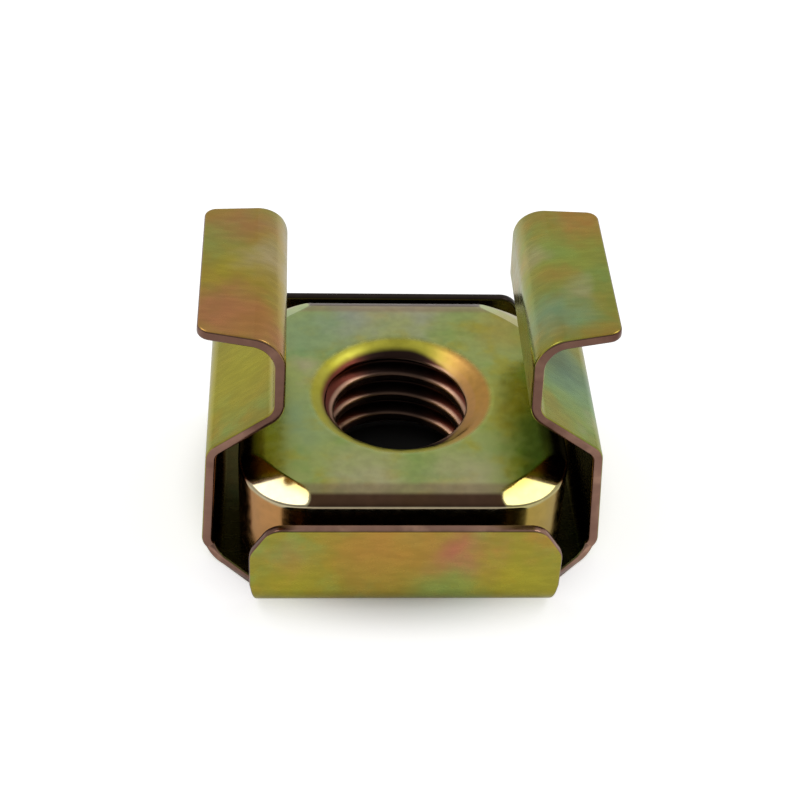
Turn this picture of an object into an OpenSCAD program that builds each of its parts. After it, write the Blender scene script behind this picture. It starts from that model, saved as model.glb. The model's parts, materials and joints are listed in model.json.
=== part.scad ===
// Cage nut for a square punched rack rail: a square nut held loose in a folded spring-steel cage.
// Origin at the middle of the cage's underside, thread axis along +Z, ears spread along X.

/* [Sheet] */
// Thickness of the spring-steel sheet
sheet_t = 0.4; // [0.3:0.05:0.5]

/* [Nut] */
// Width across the flats of the square nut
nut_w = 12.0; // [11.6:0.1:12.4]
// Height of the nut
nut_h = 4.0; // [3.6:0.1:4.2]
// Radius of the nut's four upright corners
nut_corner_r = 2.8; // [1.8:0.1:3.4]
// How far the crowned top edge runs in from each flat
crown_run = 1.0; // [0.6:0.1:1.2]
// How far the crowned top edge drops at the flats
crown_drop = 0.3; // [0.2:0.05:0.4]
// Diameter at which the turned chamfer of the corners starts, on the top face
chamfer_d = 12.6; // [12:0.1:13]
// Slope of that chamfer, in degrees
chamfer_slope = 16; // [12:1:20]
// Minor diameter of the screw thread
thread_minor_d = 5.0; // [4.9:0.05:5.2]
// Diameter of the countersink at either end of the thread
sink_d = 6.7; // [6.2:0.1:7.2]
// Full angle of the countersinks, in degrees
sink_angle = 120; // [90:10:130]

/* [Clearances] */
// Gap between the nut and each end tab
nut_gap_tab = 0.6; // [0.6:0.1:0.9]
// Gap between the nut and each side wall, at the base
nut_gap_wall = 1.0; // [0.9:0.1:1.2]
// Play of the two necks in the square hole of the rail
neck_play = 0.1; // [0:0.05:0.3]

/* [Cage base] */
// Leg of the diagonal cut across each corner of the base
corner_cut = 3.1; // [3:0.1:3.4]
// Clearance hole in the base for the end of the screw
screw_hole_d = 7.0; // [6.4:0.1:8]

/* [End tabs] */
// Width of each end tab
tab_w = 11.1; // [10:0.1:11.3]
// Height of the end tabs above the underside of the base
tab_h = 3.9; // [3:0.1:4.3]
// Inside radius of the fold between base and tab
tab_fold_r = 0.6; // [0.3:0.1:0.6]
// Height at which the tabs reach their full width, above the narrower fold
tab_root_h = 1.2; // [1:0.1:1.3]
// How far each slanted upper corner of a tab runs in from its side
tab_corner_run = 0.75; // [0.6:0.05:0.9]
// How far that corner drops from the top of the tab
tab_corner_drop = 1.2; // [1:0.1:1.4]
// Radius at both ends of the slanted corner
tab_corner_r = 0.8; // [0.3:0.1:1]

/* [Arms] */
// Square hole of the rail that the arms pass through
rail_hole = 9.5; // [9.3:0.1:9.7]
// Width of the two arms
arm_w = 8.3; // [7.8:0.1:8.5]
// Inside radius of the fold between base and side wall
wall_fold_r = 0.4; // [0.3:0.1:0.6]
// Lean of each side wall towards the middle, in degrees
wall_lean = 3.5; // [1:0.5:5]
// Height of the corner between side wall and shoulder, on the middle of the sheet
shoulder_h = 4.95; // [4.8:0.05:5.4]
// Radius of that corner, on the middle of the sheet
shoulder_r = 0.6; // [0.4:0.1:0.8]
// Height of the corner between shoulder and neck, on the middle of the sheet
neck_h = 6.75; // [6.5:0.05:7]
// Radius of that corner, on the middle of the sheet
neck_r = 0.85; // [0.5:0.05:0.95]
// Lean of each neck towards the middle, in degrees
neck_lean = 1.3; // [0:0.1:2.5]

/* [Ears] */
// Height of the corner between neck and ear, on the middle of the sheet
ear_h = 9.75; // [9.4:0.05:10.4]
// Radius of that corner, on the middle of the sheet
ear_r = 1.0; // [0.6:0.1:1.1]
// Width over the tips of the two ears
ear_span = 14.6; // [13.8:0.1:15]
// Rise of each ear from neck to tip, in degrees
ear_rise = 4; // [0:1:8]
// Width of each ear at its tip
ear_tip_w = 7.4; // [6.8:0.1:7.8]
// Radius of the corners of the ears
ear_corner_r = 0.5; // [0.2:0.1:0.9]

/* [Hidden] */
$fn = 96;
half_t = sheet_t / 2;
// The cage is as long and as wide as the nut with its two gaps and two sheets
base_w = nut_w + 2 * (nut_gap_wall + sheet_t);
base_l = nut_w + 2 * (nut_gap_tab + sheet_t);
neck_w = rail_hole - neck_play;
// Degrees of each step of a bend
bend_step = 7.5;

// ---- Outline of a bent sheet ----
function along(h) = [cos(h), sin(h)];
function left(h) = [-sin(h), cos(h)];
function heading(p, q) = atan2(q[1] - p[1], q[0] - p[0]);
function swing(p, q, s) =
    let (a = heading(q, s) - heading(p, q)) a > 180 ? a - 360 : a <= -180 ? a + 360 : a;

// The rounded corner q of the line p-q-s: an arc of radius r on the line itself, drawn `off` to its left
function corner(p, q, s, r, off = 0) =
    let (h = heading(p, q), a = swing(p, q, s), side = a > 0 ? 1 : -1,
         centre = q - r * tan(abs(a) / 2) * along(h) + side * r * left(h),
         steps = ceil(abs(a) / bend_step))
    [for (i = [0 : steps]) centre - side * (r - side * off) * left(h + a * i / steps)];

// One side of a sheet that follows a bent middle line, with its ends cut square
function sheet_side(path, radii, off) =
    let (n = len(path) - 1)
    concat([path[0] + off * left(heading(path[0], path[1]))],
           [for (i = [1 : n - 1], p = corner(path[i - 1], path[i], path[i + 1], radii[i - 1], off)) p],
           [path[n] + off * left(heading(path[n - 1], path[n]))]);

function reversed(list) = [for (i = [len(list) - 1 : -1 : 0]) list[i]];
function mirrored(list) = [for (p = list) [-p[0], p[1]]];

// Sheet bent along a half path and its mirror image, as one closed outline
module bent_sheet(half, radii, width) {
    path = concat(reversed(mirrored(half)), half);
    bends = concat(reversed(radii), radii);
    rotate([90, 0, 0]) linear_extrude(width, center = true)
        polygon(concat(sheet_side(path, bends, half_t), reversed(sheet_side(path, bends, -half_t))));
}

// ---- Middle lines of the two bent strips, from the base outwards ----
wall_x = base_w / 2 - half_t;
shoulder_x = wall_x - (shoulder_h - half_t) * tan(wall_lean);
neck_x = neck_w / 2 - half_t;
ear_x = neck_x - (ear_h - neck_h) * tan(neck_lean);
ear_tip_x = ear_span / 2;
arm_path = [[wall_x, half_t], [shoulder_x, shoulder_h], [neck_x, neck_h], [ear_x, ear_h],
            [ear_tip_x, ear_h + (ear_tip_x - ear_x) * tan(ear_rise)]];
arm_radii = [wall_fold_r + half_t, shoulder_r, neck_r, ear_r];
tab_path = [[base_l / 2 - half_t, half_t], [base_l / 2 - half_t, tab_h]];
tab_radii = [tab_fold_r + half_t];

// Seen from above, the ears narrow from the outer face of the neck to their tips
ear_start_x = ear_x + half_t;
ear_trim_z = (neck_h + ear_h) / 2;

module ear_outline() {
    w0 = arm_w / 2;
    w1 = ear_tip_w / 2;
    a = [ear_start_x, -w0];
    b = [ear_tip_x, -w1];
    c = [ear_tip_x, w1];
    d = [ear_start_x, w0];
    half = concat([a], corner(a, b, c, ear_corner_r), corner(b, c, d, ear_corner_r), [d]);
    polygon(concat(half, [for (p = half) -p]));
}

// The two arms in one strip under the nut: base, side walls, shoulders, necks and ears
module arms() {
    intersection() {
        bent_sheet(arm_path, arm_radii, arm_w);
        union() {
            translate([-base_w, -base_l, -1]) cube([2 * base_w, 2 * base_l, 1 + ear_trim_z]);
            linear_extrude(3 * ear_h) ear_outline();
        }
    }
}

// The diagonal cuts would meet on the X axis at cut_x, and they end at the folds of the tabs
cut_x = (base_w + base_l) / 2 - corner_cut;
fold_y = base_l / 2 - sheet_t - tab_fold_r;
fold_x = cut_x - fold_y;

// Base between the arms and the tabs, its corners cut off and running into the fold of the side walls
module base() {
    half = [[fold_x, -fold_y], [cut_x, 0], [fold_x, fold_y]];
    intersection() {
        bent_sheet([for (i = [0 : 1]) arm_path[i]], [arm_radii[0]], base_l);
        translate([0, 0, -1]) linear_extrude(1 + sheet_t + wall_fold_r / 2)
            polygon(concat(half, reversed(mirrored(half))));
    }
}

// The two end tabs in one strip: narrower at the fold, with their upper corners slanted
module tabs() {
    w = tab_w / 2;
    root = min(w, fold_x);
    a = [w, tab_root_h];
    b = [w, tab_h - tab_corner_drop];
    c = [w - tab_corner_run, tab_h];
    half = concat([[root, -1], [root, sheet_t], a], corner(a, b, c, tab_corner_r),
                  corner(b, c, [0, tab_h], tab_corner_r));
    intersection() {
        rotate([0, 0, 90]) bent_sheet(tab_path, tab_radii, tab_w);
        rotate([90, 0, 0]) linear_extrude(2 * base_l, center = true)
            polygon(concat(half, reversed(mirrored(half))));
    }
}

module spring_cage() {
    color([0.62, 0.58, 0.36])
    difference() {
        union() {
            arms();
            base();
            tabs();
        }
        translate([0, 0, -1]) cylinder(h = 2 + sheet_t, d = screw_hole_d);
    }
}

// Bar with the crowned top edges of the nut, lying along Y
module crowned_bar() {
    r = (crown_run * crown_run + crown_drop * crown_drop) / (2 * crown_drop);
    sweep = asin(crown_run / r);
    steps = 8;
    edge = [for (i = [0 : steps]) let (a = sweep * i / steps)
            [nut_w / 2 - crown_run + r * sin(a), nut_h - r * (1 - cos(a))]];
    half = concat(edge, [[nut_w / 2, 0]]);
    rotate([90, 0, 0]) linear_extrude(2 * nut_w, center = true)
        polygon(concat(half, reversed(mirrored(half))));
}

// Square column with rounded upright corners
module nut_column() {
    flat = nut_w - 2 * nut_corner_r;
    linear_extrude(2 * nut_h) {
        square([flat, nut_w], center = true);
        square([nut_w, flat], center = true);
        for (x = [-1, 1], y = [-1, 1]) translate([x * flat / 2, y * flat / 2]) circle(nut_corner_r);
    }
}

module square_nut() {
    sink_h = (sink_d - thread_minor_d) / 2 / tan(sink_angle / 2);
    far = nut_w;
    color([0.50, 0.52, 0.40])
    translate([0, 0, sheet_t])
    difference() {
        intersection() {
            nut_column();
            crowned_bar();
            rotate([0, 0, 90]) crowned_bar();
            rotate_extrude() polygon([[0, 0], [far, 0],
                                      [far, nut_h - (far - chamfer_d / 2) * tan(chamfer_slope)],
                                      [chamfer_d / 2, nut_h], [0, nut_h]]);
        }
        rotate_extrude() polygon([[0, -1], [sink_d / 2 + tan(sink_angle / 2), -1],
                                  [thread_minor_d / 2, sink_h], [thread_minor_d / 2, nut_h - sink_h],
                                  [sink_d / 2 + tan(sink_angle / 2), nut_h + 1], [0, nut_h + 1]]);
    }
}

spring_cage();
square_nut();
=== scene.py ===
import json
import math

import bmesh
import bpy
from bpy.props import FloatProperty, FloatVectorProperty, IntProperty, PointerProperty
from mathutils import Matrix, Vector


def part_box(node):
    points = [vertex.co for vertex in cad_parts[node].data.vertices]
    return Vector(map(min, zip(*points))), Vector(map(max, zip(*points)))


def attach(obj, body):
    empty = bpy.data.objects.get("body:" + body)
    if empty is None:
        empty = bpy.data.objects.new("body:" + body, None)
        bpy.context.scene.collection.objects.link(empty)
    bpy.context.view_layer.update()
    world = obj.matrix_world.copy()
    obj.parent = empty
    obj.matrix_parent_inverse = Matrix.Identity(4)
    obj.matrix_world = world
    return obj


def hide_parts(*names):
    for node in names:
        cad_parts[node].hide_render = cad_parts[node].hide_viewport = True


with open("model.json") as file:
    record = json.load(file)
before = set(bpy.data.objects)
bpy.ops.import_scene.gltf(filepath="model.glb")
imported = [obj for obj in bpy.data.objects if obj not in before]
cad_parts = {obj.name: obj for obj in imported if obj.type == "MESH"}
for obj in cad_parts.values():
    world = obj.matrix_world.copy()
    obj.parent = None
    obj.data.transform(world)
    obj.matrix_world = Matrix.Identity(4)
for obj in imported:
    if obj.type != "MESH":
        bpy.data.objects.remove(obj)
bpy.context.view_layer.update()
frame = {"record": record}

bl_info = {
    "name": "Rack Cage Nut",
    "version": (1, 0, 0),
    "blender": (4, 5, 0),
    "location": "View3D > Sidebar > Cage Nut",
    "description": "Folds the spring-steel cage, taps the square nut and sets the studio",
    "category": "Add Mesh",
}

MM = 0.001
CAGE_LOW, CAGE_HIGH = (Vector(corner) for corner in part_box("spring_cage"))
NUT_LOW, NUT_HIGH = (Vector(corner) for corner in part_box("square_nut"))
MOUNT = {mount["name"]: mount for mount in frame["record"]["mounts"]}
MINOR_R = MOUNT["thread"]["dims"]["r_mm"] * MM
SCREW_HOLE_R = MOUNT["screw_clearance"]["dims"]["r_mm"] * MM
SHEET_T = NUT_LOW.z
# Points closer together than this are welded
WELD = 0.002 * MM


# ---------------------------------------------------------------- colours

def colour(hex_code):
    """Linear RGBA of an sRGB hex colour."""
    parts = [int(hex_code[i:i + 2], 16) / 255 for i in (1, 3, 5)]
    return tuple(p / 12.92 if p <= 0.04045 else ((p + 0.055) / 1.055) ** 2.4 for p in parts) + (1.0,)


def swatch(name, hex_code, words):
    """A colour that the user can change."""
    return FloatVectorProperty(name=name, description=words, subtype="COLOR", size=4,
                               min=0.0, max=1.0, default=colour(hex_code))


def length(name, value, words):
    """A length in metres that the user can change."""
    return FloatProperty(name=name, description=words, default=value, unit="LENGTH", precision=5)


def angle(name, degrees, words):
    """An angle that the user can change."""
    return FloatProperty(name=name, description=words, default=math.radians(degrees), unit="ROTATION")


# ---------------------------------------------------------------- properties

class CageSizes(bpy.types.PropertyGroup):
    """Sizes of the folded cage, on the middle of its sheet where no face is named."""
    sheet_t: length("Sheet", SHEET_T, "Thickness of the spring steel")
    edge_r: length("Edge radius", 0.11 * MM, "Radius that tumbling leaves on the cut edges")
    screw_hole_r: length("Screw hole radius", SCREW_HOLE_R, "Hole in the base for the end of the screw")
    base_w: length("Base width", 14.8 * MM, "Width over the side walls, at the base")
    base_l: length("Base length", CAGE_HIGH.y - CAGE_LOW.y, "Length over the end tabs")
    corner_cut: length("Corner cut", 3.1 * MM, "Leg of the diagonal cut across each corner of the base")
    tab_w: length("Tab width", 11.1 * MM, "Width of each end tab")
    tab_h: length("Tab height", 3.9 * MM, "Height of the end tabs above the underside")
    tab_fold_r: length("Tab fold", 0.8 * MM, "Radius of the fold between base and tab")
    tab_root_h: length("Tab root", 1.2 * MM, "Height at which the tabs reach their full width")
    tab_corner_run: length("Tab corner run", 0.75 * MM,
                           "How far each slanted upper corner runs in from the side")
    tab_corner_drop: length("Tab corner drop", 1.2 * MM,
                            "How far that corner drops from the top of the tab")
    tab_corner_r: length("Tab corner radius", 0.8 * MM, "Radius at both ends of the slanted corner")
    arm_w: length("Arm width", 8.3 * MM, "Width of the two arms")
    wall_fold_r: length("Wall fold", 0.6 * MM, "Radius of the fold between base and side wall")
    wall_lean: angle("Wall lean", 3.5, "Lean of each side wall towards the middle")
    shoulder_h: length("Shoulder height", 4.95 * MM, "Height of the corner between wall and shoulder")
    shoulder_r: length("Shoulder radius", 0.6 * MM, "Radius of that corner")
    neck_w: length("Neck width", 9.4 * MM, "Width over the two necks")
    neck_h: length("Neck height", 6.75 * MM, "Height of the corner between shoulder and neck")
    neck_r: length("Neck radius", 0.85 * MM, "Radius of that corner")
    neck_lean: angle("Neck lean", 1.3, "Lean of each neck towards the middle")
    ear_h: length("Ear height", 9.75 * MM, "Height of the corner between neck and ear")
    ear_r: length("Ear bend", 1.0 * MM, "Radius of that corner")
    ear_span: length("Ear span", 14.6 * MM, "Width over the tips of the two ears")
    ear_rise: angle("Ear rise", 4.0, "Rise of each ear from neck to tip")
    ear_tip_w: length("Ear tip width", 7.4 * MM, "Width of each ear at its tip")
    ear_corner_r: length("Ear corner", 0.5 * MM, "Radius of the corners of the ears")
    taper_start: length("Taper start", 0.6 * MM,
                        "Where the ears start to narrow, past the start of their bend")
    bend_step: angle("Bend step", 3.0, "Turn between two rows of vertices in a bend")


class NutSizes(bpy.types.PropertyGroup):
    """Sizes of the square nut."""
    width: length("Width", NUT_HIGH.x - NUT_LOW.x, "Width across the flats")
    height: length("Height", NUT_HIGH.z - NUT_LOW.z, "Height of the nut")
    corner_r: length("Corner radius", 2.8 * MM, "Radius of the upright corners")
    crown_run: length("Crown run", 1.0 * MM, "How far the crowned top edge runs in from each flat")
    crown_drop: length("Crown drop", 0.3 * MM, "How far the crowned top edge drops at the flats")
    chamfer_r: length("Chamfer radius", 6.3 * MM, "Radius at which the turned chamfer starts")
    chamfer_slope: angle("Chamfer slope", 24.0, "Slope of the turned chamfer")
    crease: length("Crease", 0.012 * MM, "How softly crown and chamfer meet")
    rim_r: length("Rim", 0.14 * MM, "Radius at the top of the upright sides")
    foot_r: length("Foot", 0.12 * MM, "Radius at the bottom of the upright sides")
    minor_r: length("Minor radius", MINOR_R, "Minor radius of the thread")
    major_r: length("Major radius", 3.0 * MM, "Major radius of the thread")
    pitch: length("Pitch", 1.0 * MM, "Pitch of the thread")
    thread_start: angle("Thread start", 170.0, "Turn of the thread about its axis")
    flank_angle: angle("Flank angle", 60.0, "Full angle between two flanks of the thread")
    sink_r: length("Countersink radius", 3.35 * MM, "Radius of the countersink at the face")
    sink_angle: angle("Countersink angle", 120.0, "Full angle of the countersink")
    sink_lip: length("Countersink lip", 0.15 * MM,
                     "How far the countersink's rounded edge runs out over the face")
    columns: IntProperty(name="Columns", description="Steps round the thread axis", default=288, min=48)
    rows: IntProperty(name="Rows", description="Rows of vertices in one turn of the thread",
                      default=24, min=8)


class Finish(bpy.types.PropertyGroup):
    """Colours of the yellow zinc chromate coat, and of the painted shade, highlights and reflections laid
    over it.
    """
    olive: swatch("Olive", "#A39A40", "Main colour of the coat on the cage")
    sage: swatch("Sage", "#B0BC70", "Main colour of the coat on the nut")
    gold: swatch("Gold", "#BC9C3E", "Where the coat is a little thicker")
    yellow: swatch("Yellow", "#BBB235", "In the countersink and on the left shoulder")
    green: swatch("Green", "#8FAE5C", "Where the coat turns green")
    teal: swatch("Teal", "#8AAF8E", "Where the coat turns blue green")
    blue: swatch("Blue grey", "#A3B0A6", "Where the coat is thinnest")
    pink: swatch("Pink", "#C4795F", "Where the coat is thickest")
    orange: swatch("Orange", "#C98B4A", "Beside the pink")
    # Besides worn patches, pale is a painted highlight along the nut's rim and on its front corners
    pale_wear_and_highlight: swatch("Pale", "#C9BC9A", "Where rubbing has worn the coat")
    # On the thread's crests copper is partly a painted highlight
    copper: swatch("Copper", "#C39A82", "The coat on the thread's crests")
    # Rose also paints the reflection of the bright surroundings in a band on the nut's crowned edges
    rose: swatch("Rose", "#987464", "The coat on cut edges")
    # On the nut's turned corners rust is a painted reflection of the arms' dark undersides; in the thread
    # it reddens the grooves to the sides
    rust: swatch("Rust", "#8A4436", "The coat on the turned corners of the nut")
    # Umber is partly painted shade in the thread's grooves, and a dark painted reflection on the nut's
    # crowned edges
    umber: swatch("Umber", "#4A2A22", "The coat in the thread's grooves")
    # Shade is painted shade: it darkens the inside of the cage, the rear tab's edge, the middle of the
    # bore and a patch on the right shoulder
    shade: swatch("Shade", "#1E1C1A", "Inside the cage, where the bath leaves no bright coat")


class Studio(bpy.types.PropertyGroup):
    """Camera and light."""
    azimuth: angle("Azimuth", -4.2, "Turn of the camera round the nut")
    elevation: angle("Elevation", 39.7, "Height of the camera above the horizon")
    roll: angle("Roll", 2.9, "Tilt of the camera about its own axis")
    distance: length("Distance", 69.1 * MM, "From the camera to its target")
    target_h: length("Target height", 4.04 * MM, "Height of the target above the floor")
    lens: FloatProperty(name="Lens", description="Focal length in millimetres", default=82.5)
    softbox: FloatProperty(name="Softboxes", description="Power of each softbox in watts", default=0.1)
    softbox_size: length("Softbox size", 0.12, "Side of each softbox")


# ---------------------------------------------------------------- node helpers

MATH = "ShaderNodeMath"
VECTOR = "ShaderNodeVectorMath"
NOISE = "ShaderNodeTexNoise"
RANGE = "ShaderNodeMapRange"
SMOOTH = {"interpolation_type": "SMOOTHSTEP"}
# Low and high end of the noise that draws a grain
GRAIN = (0.3, 0.7)


def add(tree, kind, values=(), **settings):
    """Adds a node, sets or links its inputs in order or by name, and gives its outputs."""
    new = tree.nodes.new(kind)
    for name, value in settings.items():
        setattr(new, name, value)
    for key, value in values.items() if isinstance(values, dict) else enumerate(values):
        if isinstance(value, bpy.types.NodeSocket):
            tree.links.new(value, new.inputs[key])
        else:
            new.inputs[key].default_value = value
    return new.outputs


def group(name, sockets):
    """An empty geometry node tree with these input sockets and a geometry output."""
    tree = bpy.data.node_groups.new(name, "GeometryNodeTree")
    for label, kind in sockets:
        tree.interface.new_socket(label, in_out="INPUT", socket_type=kind)
    tree.interface.new_socket("Geometry", in_out="OUTPUT", socket_type="NodeSocketGeometry")
    return tree, add(tree, "NodeGroupInput")


def socket_id(tree, label):
    """Identifier of the tree's input with this label."""
    return next(item.identifier for item in tree.interface.items_tree
                if item.in_out == "INPUT" and item.name == label)


def to_plain_mesh(obj):
    """Turns the evaluated object into a plain mesh and removes its modifiers."""
    bpy.context.view_layer.update()
    evaluated = obj.evaluated_get(bpy.context.evaluated_depsgraph_get())
    mesh = bpy.data.meshes.new_from_object(evaluated)
    mesh.name = obj.name
    obj.modifiers.clear()
    obj.data = mesh


def new_object(name, bm):
    """A linked object that holds the bmesh."""
    mesh = bpy.data.meshes.new(name)
    bm.to_mesh(mesh)
    bm.free()
    obj = bpy.data.objects.new(name, mesh)
    bpy.context.collection.objects.link(obj)
    return obj


# ---------------------------------------------------------------- the folded cage

# What the folding tree asks for at each fold
FOLD_WORDS = (" start", " radius", " angle")


def swing(before, at, after):
    """Turn of a line at a point, positive to the left."""
    a, b = at - before, after - at
    return math.atan2(a.x * b.y - a.y * b.x, a.dot(b))


def rounded(before, at, after, radius, step):
    """Points of the rounded corner of a line."""
    turn = swing(before, at, after)
    ahead = (at - before).normalized()
    side = math.copysign(1, turn)
    normal = Vector((-ahead.y, ahead.x)) * side
    centre = at - ahead * radius * math.tan(abs(turn) / 2) + normal * radius
    count = math.ceil(abs(turn) / step)
    return [centre - Matrix.Rotation(turn * i / count, 2) @ normal * radius for i in range(count + 1)]


def arm_line(cage):
    """Corners of the right arm's middle line, from the middle of the base to the ear's tip."""
    half = cage.sheet_t / 2
    wall_x = cage.base_w / 2 - half
    shoulder_x = wall_x - (cage.shoulder_h - half) * math.tan(cage.wall_lean)
    neck_x = cage.neck_w / 2 - half
    ear_x = neck_x - (cage.ear_h - cage.neck_h) * math.tan(cage.neck_lean)
    tip_x = cage.ear_span / 2
    tip_h = cage.ear_h + (tip_x - ear_x) * math.tan(cage.ear_rise)
    line = ((0, half), (wall_x, half), (shoulder_x, cage.shoulder_h), (neck_x, cage.neck_h),
            (ear_x, cage.ear_h), (tip_x, tip_h))
    return [Vector(p) for p in line]


def unfolded(line, radii):
    """Folds of a bent line as (start, radius, angle) along the flat sheet, and its flat length."""
    folds = []
    flat = 0.0
    spare = 0.0
    for i, radius in enumerate(radii, 1):
        turn = swing(line[i - 1], line[i], line[i + 1])
        trim = radius * math.tan(abs(turn) / 2)
        start = flat + (line[i] - line[i - 1]).length - spare - trim
        folds.append((start, radius, turn))
        flat = start + radius * abs(turn)
        spare = trim
    return folds, flat + (line[-1] - line[-2]).length - spare


def blank_quarter(cage, arm_folds, arm_end, tab_folds, tab_end):
    """Outline of a quarter of the flat blank, from the screw hole out along X and back along Y."""
    half_arm = cage.arm_w / 2
    half_tab = cage.tab_w / 2
    reach = (cage.base_w + cage.base_l) / 2 - cage.corner_cut
    corner_step = math.radians(7.5)
    taper = arm_folds[-1][0] + cage.taper_start
    tip = Vector((arm_end, cage.ear_tip_w / 2))
    ear_root = Vector((taper, half_arm))
    fold = tab_folds[0][0]
    tab_foot = Vector((half_tab, tab_end - cage.tab_h + cage.tab_root_h))
    tab_side = Vector((half_tab, tab_end - cage.tab_corner_drop))
    tab_top = Vector((half_tab - cage.tab_corner_run, tab_end))
    outline = [Vector((cage.screw_hole_r, 0)), Vector((arm_end, 0))]
    outline += rounded(Vector((arm_end, 0)), tip, ear_root, cage.ear_corner_r, corner_step)
    outline += [ear_root, Vector((reach - half_arm, half_arm)), Vector((reach - fold, fold)), tab_foot]
    outline += rounded(tab_foot, tab_side, tab_top, cage.tab_corner_r, corner_step)
    outline += rounded(tab_side, tab_top, Vector((0, tab_end)), cage.tab_corner_r, corner_step)
    outline += [Vector((0, tab_end))]
    steps = 30
    outline += [cage.screw_hole_r * Vector((math.sin(a), math.cos(a)))
                for a in (math.pi / 2 * i / steps for i in range(steps))]
    return outline


def cut_rows(bm, folds, axis, step):
    """Cuts rows of vertices across each fold, on both sides of the middle, so that it bends smoothly."""
    # A vertex this near to a row's plane is taken as on it
    near = 0.0005 * MM
    for start, radius, turn in folds:
        count = math.ceil(abs(turn) / step)
        for i in range(count + 1):
            place = axis * (start + radius * abs(turn) * i / count)
            for side in (-1, 1):
                bmesh.ops.bisect_plane(bm, geom=bm.verts[:] + bm.edges[:] + bm.faces[:], dist=near,
                                       plane_co=side * place, plane_no=axis)


def fold_tree():
    """Bends a sheet up or down beyond a line across it, on both sides of the middle."""
    tree, given = group("Fold", (("Geometry", "NodeSocketGeometry"), ("Along", "NodeSocketVector"),
                                 ("Start", "NodeSocketFloat"), ("Radius", "NodeSocketFloat"),
                                 ("Angle", "NodeSocketFloat")))
    flat = add(tree, "GeometryNodeInputNamedAttribute", {"Name": "flat"}, data_type="FLOAT_VECTOR")[0]
    reach = add(tree, VECTOR, (flat, given["Along"]), operation="DOT_PRODUCT")["Value"]
    side = add(tree, MATH, (reach,), operation="SIGN")[0]
    outward = add(tree, VECTOR, {0: given["Along"], "Scale": side}, operation="SCALE")[0]
    # Length of the arc that lies behind this point, from none to the whole of it
    out = add(tree, MATH, (reach,), operation="ABSOLUTE")[0]
    past = add(tree, MATH, (out, given["Start"]), operation="SUBTRACT")[0]
    size = add(tree, MATH, (given["Angle"],), operation="ABSOLUTE")[0]
    whole = add(tree, MATH, (given["Radius"], size), operation="MULTIPLY")[0]
    within = add(tree, MATH, (past, whole), operation="MINIMUM")[0]
    used = add(tree, MATH, (within, 0.0), operation="MAXIMUM")[0]
    way = add(tree, MATH, (given["Angle"],), operation="SIGN")[0]
    swept = add(tree, MATH, (used, given["Radius"]), operation="DIVIDE")[0]
    turn = add(tree, MATH, (swept, way), operation="MULTIPLY")[0]
    # The sheet is pulled back by that length and then turned about the arc's centre
    foot = add(tree, VECTOR, {0: outward, "Scale": given["Start"]}, operation="SCALE")[0]
    rise = add(tree, MATH, (given["Radius"], way), operation="MULTIPLY")[0]
    lift = add(tree, "ShaderNodeCombineXYZ", {"Z": rise})[0]
    centre = add(tree, VECTOR, (foot, lift), operation="ADD")[0]
    axis = add(tree, VECTOR, (outward, (0, 0, 1)), operation="CROSS_PRODUCT")[0]
    taken = add(tree, VECTOR, {0: outward, "Scale": used}, operation="SCALE")[0]
    here = add(tree, "GeometryNodeInputPosition")[0]
    pulled = add(tree, VECTOR, (here, taken), operation="SUBTRACT")[0]
    bent = add(tree, "ShaderNodeVectorRotate",
               {"Vector": pulled, "Center": centre, "Axis": axis, "Angle": turn})[0]
    placed = add(tree, "GeometryNodeSetPosition", {"Geometry": given["Geometry"], "Position": bent})[0]
    add(tree, "NodeGroupOutput", {"Geometry": placed})
    return tree


def cage_tree(names, coat, edge_coat):
    """Folds the blank, from the tips inwards, stands it on the floor and gives it its two finishes."""
    sockets = [("Geometry", "NodeSocketGeometry"), ("Sheet", "NodeSocketFloat")]
    for name in names:
        sockets += [(name + word, "NodeSocketFloat") for word in FOLD_WORDS]
    tree, given = group("Folded cage", sockets)
    fold = fold_tree()
    here = add(tree, "GeometryNodeInputPosition")[0]
    sheet = add(tree, "GeometryNodeStoreNamedAttribute",
                {"Geometry": given["Geometry"], "Name": "flat", "Value": here},
                data_type="FLOAT_VECTOR", domain="POINT")[0]
    for name in names:
        start, radius, turn = (given[name + word] for word in FOLD_WORDS)
        along = (0, 1, 0) if name == "Tab" else (1, 0, 0)
        sheet = add(tree, "GeometryNodeGroup", {"Geometry": sheet, "Along": along, "Start": start,
                                                "Radius": radius, "Angle": turn}, node_tree=fold)[0]
    half = add(tree, MATH, (given["Sheet"], 0.5), operation="MULTIPLY")[0]
    lift = add(tree, "ShaderNodeCombineXYZ", {"Z": half})[0]
    stood = add(tree, "GeometryNodeSetPosition", {"Geometry": sheet, "Offset": lift})[0]
    smooth = add(tree, "GeometryNodeSetShadeSmooth", {"Geometry": stood})[0]
    real = add(tree, "GeometryNodeRealizeInstances", {"Geometry": smooth})[0]
    # The sheet's faces are in the first material slot, and its cut edges in the second
    slot = add(tree, "GeometryNodeInputMaterialIndex")[0]
    face = add(tree, MATH, (slot, 0.5), operation="LESS_THAN")[0]
    edge = add(tree, MATH, (slot, 0.5), operation="GREATER_THAN")[0]
    coated = add(tree, "GeometryNodeSetMaterial",
                 {"Geometry": real, "Selection": face, "Material": coat})[0]
    done = add(tree, "GeometryNodeSetMaterial",
               {"Geometry": coated, "Selection": edge, "Material": edge_coat})[0]
    add(tree, "NodeGroupOutput", {"Geometry": done})
    return tree


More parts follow.
